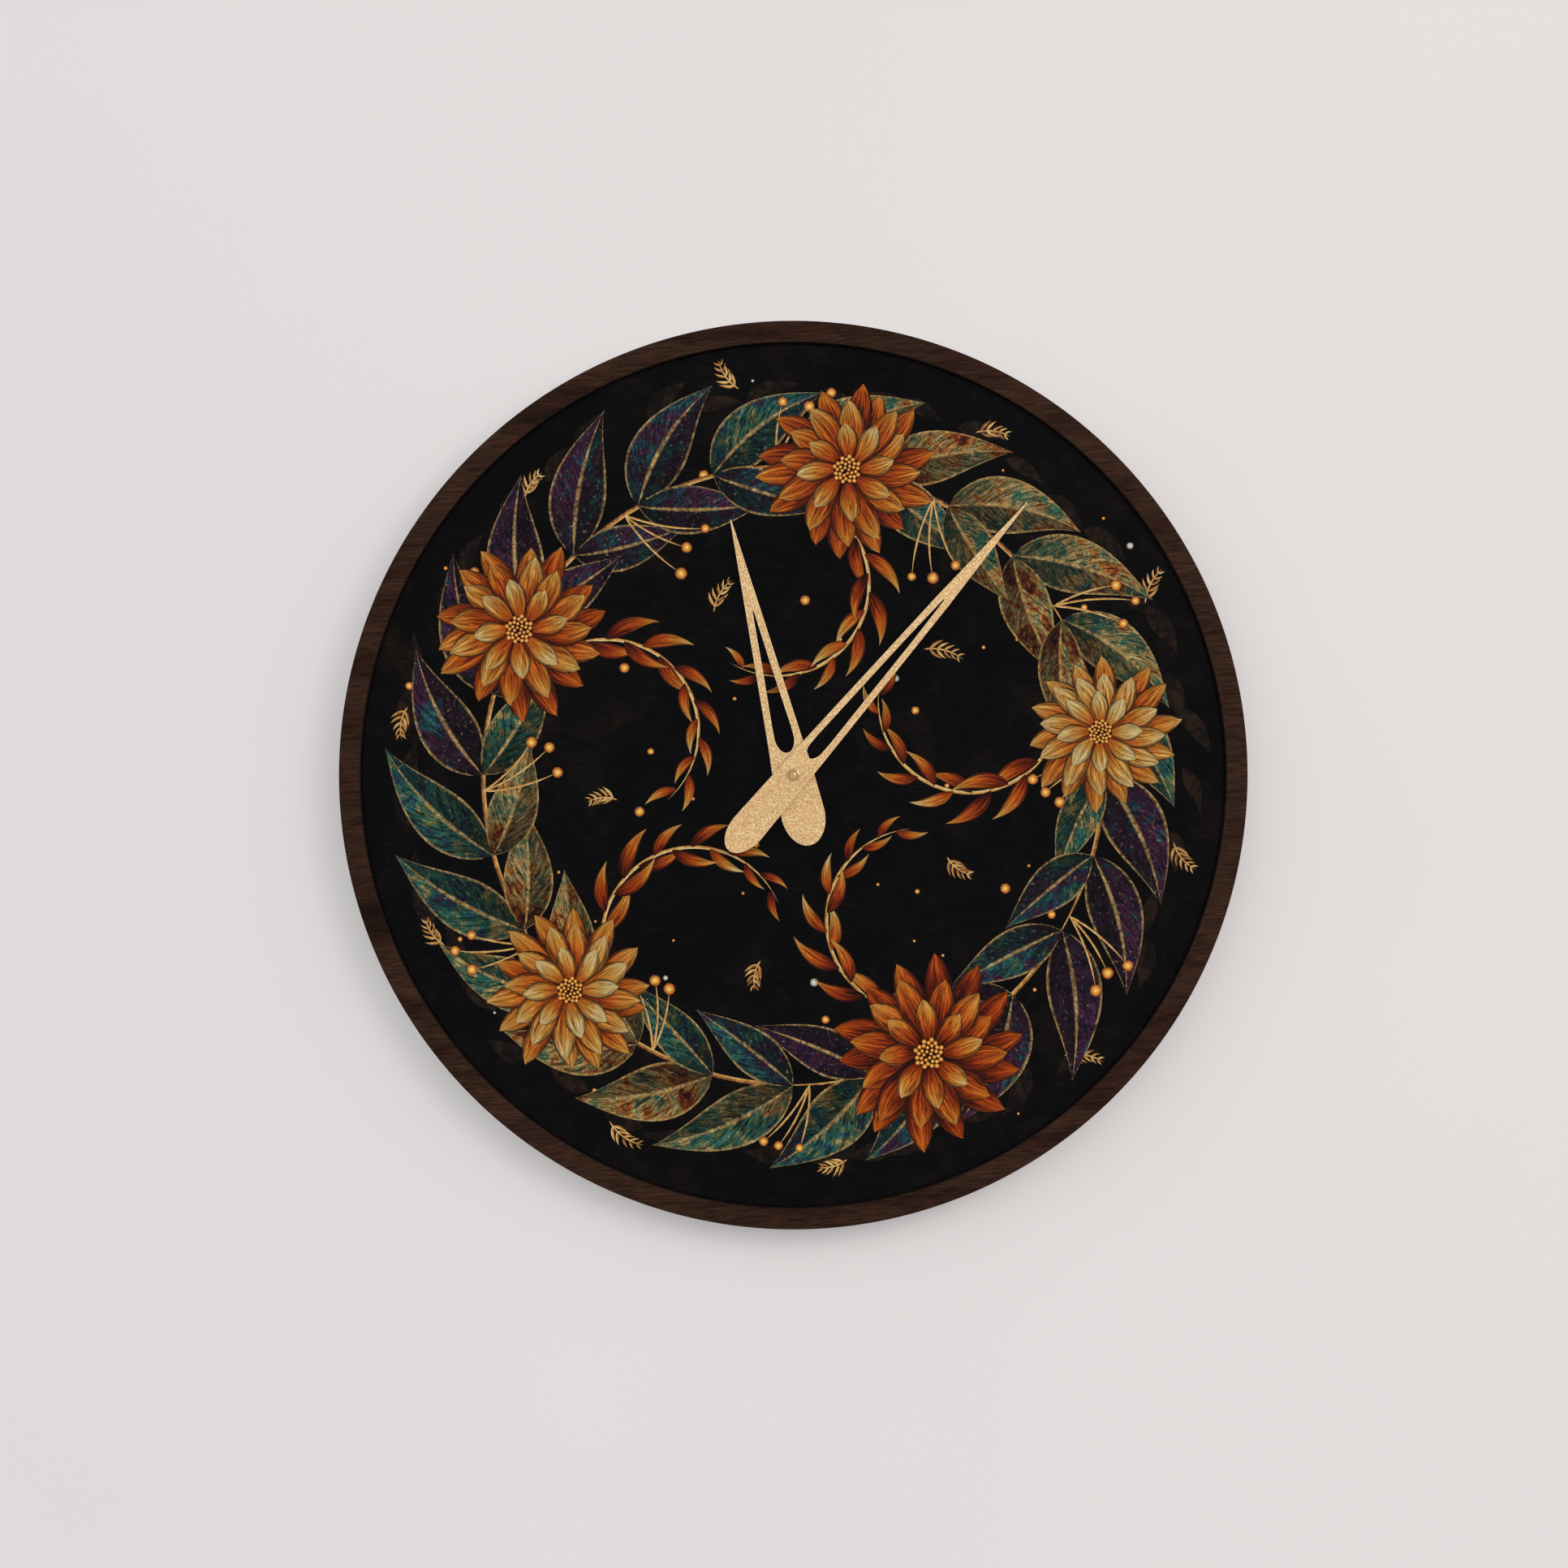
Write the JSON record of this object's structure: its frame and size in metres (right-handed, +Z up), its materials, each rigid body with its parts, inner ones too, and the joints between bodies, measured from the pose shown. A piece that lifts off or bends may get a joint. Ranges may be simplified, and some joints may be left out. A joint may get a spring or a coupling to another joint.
{
  "type": "wall clock",
  "caption": "Round acrylic wall clock with a dark wood-look ring, slotted gold spear hands and a square quartz movement with a hanger behind.",
  "frame": {"origin": "point on the hand axis in the wall plane, on the flat back of the movement's cover", "axes": "+Z up as hung, +Y into the wall, -Y the way the dial faces, +X to the right of a viewer in front"},
  "size_m": [0.5, 0.0317, 0.5],
  "materials": {
    "walnut_veneer": "matte",
    "printed_acrylic": "printed, satin gloss",
    "gold_powder_coat": "champagne gold glitter coat",
    "turned_brass": "turned",
    "moulded_black_abs": "fine moulded grain",
    "moulded_white_acetal": "moulded",
    "black_rubber": "matte",
    "plated_steel": "nickel plated",
    "spring_bronze": "rolled",
    "silicon_steel": "stamped",
    "sintered_ferrite": "sintered",
    "enamelled_copper": "enamelled wire",
    "fibre_board": "solder mask",
    "chip_resin": "cast resin",
    "cell_jacket": "plain printed jacket"
  },
  "bodies": {
    "clock_body": {"front_ring": "walnut_veneer", "dial_panel": "printed_acrylic", "movement_case": "moulded_black_abs", "movement_cover": "moulded_black_abs", "middle_plate": "moulded_black_abs", "threaded_bushing": "turned_brass", "rubber_gasket": "black_rubber", "dial_washer": "turned_brass", "hex_nut": "turned_brass", "stator_plate": "silicon_steel", "coil_core": "silicon_steel", "coil_bobbin": "moulded_white_acetal", "coil_winding": "enamelled_copper", "circuit_board": "fibre_board", "circuit_chip": "chip_resin", "quartz_crystal": "plated_steel", "battery_contact_positive": "plated_steel", "battery_contact_negative": "spring_bronze"},
    "minute_group": {"minute_hand": "gold_powder_coat", "cap_nut": "turned_brass", "minute_arbor": "plated_steel", "clutch_spring": "spring_bronze"},
    "hour_group": {"hour_hand": "gold_powder_coat", "hour_hand_collet": "turned_brass", "hour_wheel": "moulded_white_acetal"},
    "motion_group": {"motion_wheel": "moulded_white_acetal"},
    "setting_group": {"setting_knob": "moulded_black_abs", "setting_pinion": "moulded_white_acetal"},
    "rotor_group": {"rotor_pinion": "moulded_white_acetal", "rotor_magnet": "sintered_ferrite"},
    "intermediate_group": {"intermediate_wheel": "moulded_white_acetal"},
    "seconds_group": {"seconds_wheel": "moulded_white_acetal"},
    "third_group": {"third_wheel": "moulded_white_acetal"},
    "centre_group": {"centre_wheel": "moulded_white_acetal"},
    "battery_group": {"battery": "cell_jacket"}
  },
  "joints": [
    {"name": "minute_hand_turn", "type": "hinge", "parent": "clock_body", "child": "minute_group", "pos_m": [0, 0, 0], "axis": [0, 1, 0], "continuous": true},
    {"name": "hour_hand_turn", "type": "hinge", "parent": "clock_body", "child": "hour_group", "pos_m": [0, 0, 0], "axis": [0, 1, 0], "continuous": true},
    {"name": "motion_wheel_turn", "type": "hinge", "parent": "clock_body", "child": "motion_group", "pos_m": [0.00827, 0, -0.00146], "axis": [0, 1, 0], "continuous": true},
    {"name": "setting_knob_turn", "type": "hinge", "parent": "clock_body", "child": "setting_group", "pos_m": [0.01667, 0, -0.00146], "axis": [0, 1, 0], "continuous": true},
    {"name": "rotor_turn", "type": "hinge", "parent": "clock_body", "child": "rotor_group", "pos_m": [0.01079, 0, 0.0115], "axis": [0, 1, 0], "continuous": true},
    {"name": "intermediate_wheel_turn", "type": "hinge", "parent": "clock_body", "child": "intermediate_group", "pos_m": [0.00456, 0, 0.0079], "axis": [0, 1, 0], "continuous": true},
    {"name": "seconds_wheel_turn", "type": "hinge", "parent": "clock_body", "child": "seconds_group", "pos_m": [0, 0, 0], "axis": [0, 1, 0], "continuous": true},
    {"name": "third_wheel_turn", "type": "hinge", "parent": "clock_body", "child": "third_group", "pos_m": [-0.00886, 0, 0.00156], "axis": [0, 1, 0], "continuous": true},
    {"name": "centre_wheel_turn", "type": "hinge", "parent": "clock_body", "child": "centre_group", "pos_m": [0, 0, 0], "axis": [0, 1, 0], "continuous": true},
    {"name": "battery_slide", "type": "slide", "parent": "clock_body", "child": "battery_group", "axis": [0, 1, 0], "range_m": [0, 0.02]}
  ],
  "couplings": [
    {"joint": "hour_hand_turn", "follows": "minute_hand_turn", "ratio": 0.083333},
    {"joint": "motion_wheel_turn", "follows": "minute_hand_turn", "ratio": -0.33333},
    {"joint": "setting_knob_turn", "follows": "minute_hand_turn", "ratio": 1},
    {"joint": "intermediate_wheel_turn", "follows": "rotor_turn", "ratio": -0.2},
    {"joint": "seconds_wheel_turn", "follows": "rotor_turn", "ratio": 0.033333},
    {"joint": "third_wheel_turn", "follows": "rotor_turn", "ratio": -0.0044444},
    {"joint": "centre_wheel_turn", "follows": "rotor_turn", "ratio": 0.00055556}
  ]
}
